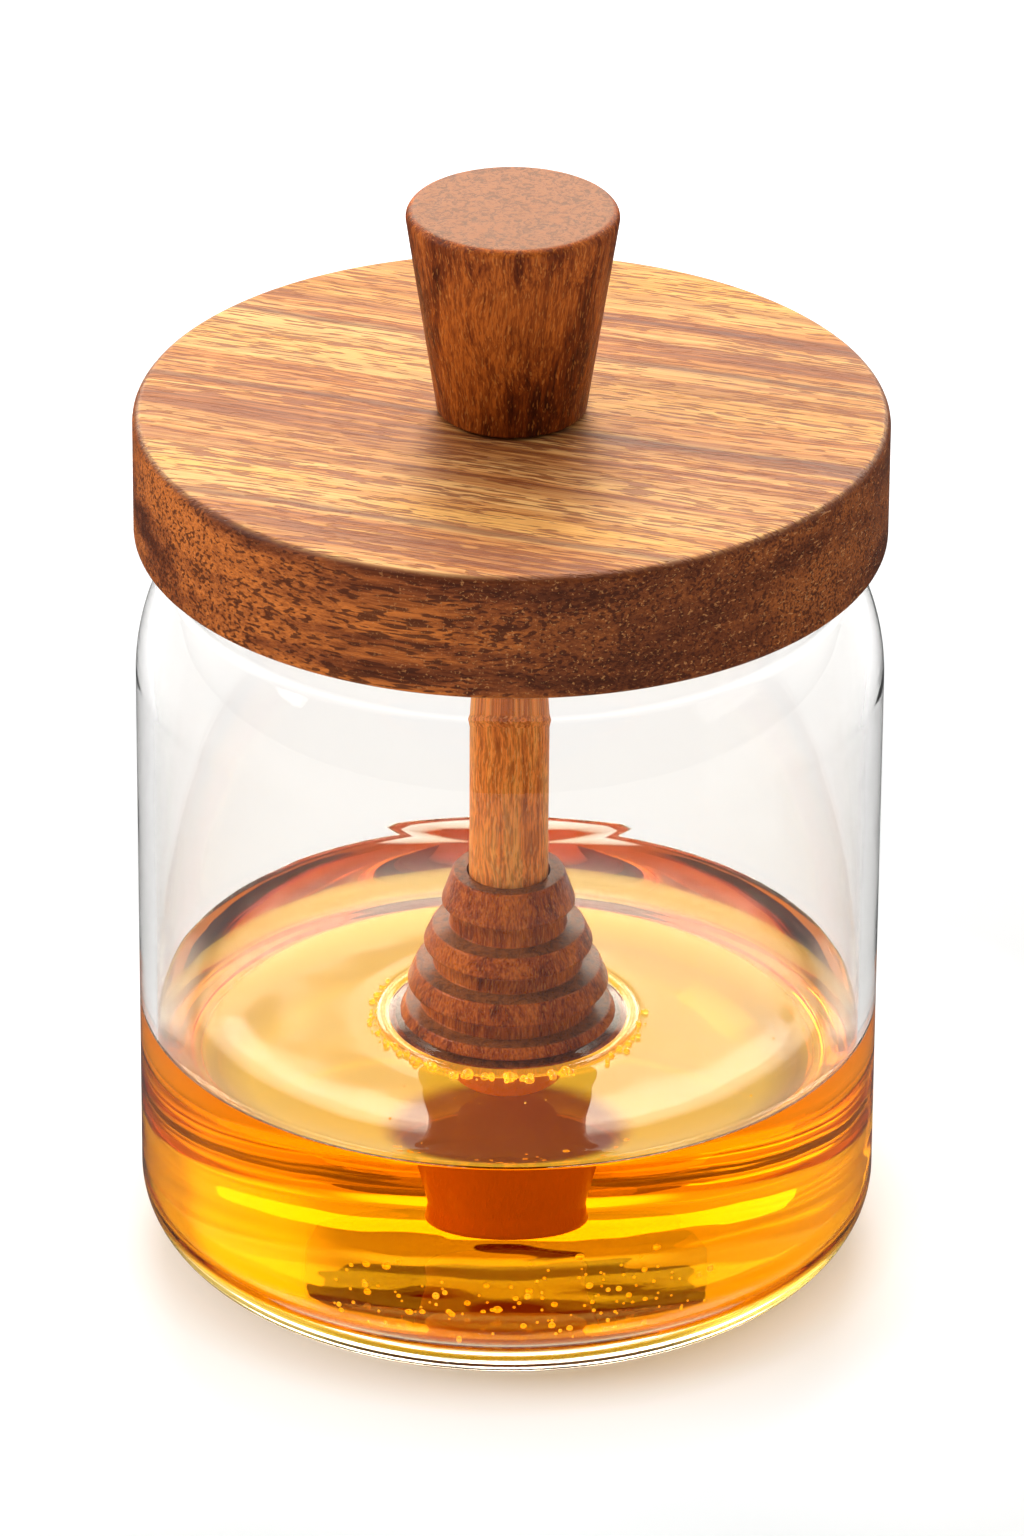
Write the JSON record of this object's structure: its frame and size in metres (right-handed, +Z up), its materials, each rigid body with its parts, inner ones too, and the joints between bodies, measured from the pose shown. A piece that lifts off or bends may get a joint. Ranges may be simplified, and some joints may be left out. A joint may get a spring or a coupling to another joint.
{
  "type": "honey jar",
  "caption": "Clear glass jar part filled with honey, closed by a round wooden lid with a tapered knob; a turned wooden dipper hangs from the lid into the honey.",
  "frame": {"origin": "middle of the jar's foot, on the surface that it stands on", "axes": "+Z up along the jar's axis; the picture looks along +Y, with +X to its right"},
  "size_m": [0.0952, 0.0952, 0.1434],
  "materials": {
    "glass": "clear, polished",
    "honey": "clear amber liquid",
    "lid_wood": "oiled, streaked",
    "knob_wood": "oiled, satin",
    "rod_wood": "satin",
    "head_wood": "wet with honey"
  },
  "bodies": {
    "root": {"glass_jar": "glass", "honey": "honey", "wooden_lid": "lid_wood", "lid_knob": "knob_wood", "dipper_rod": "rod_wood", "dipper_head": "head_wood"}
  },
  "joints": []
}
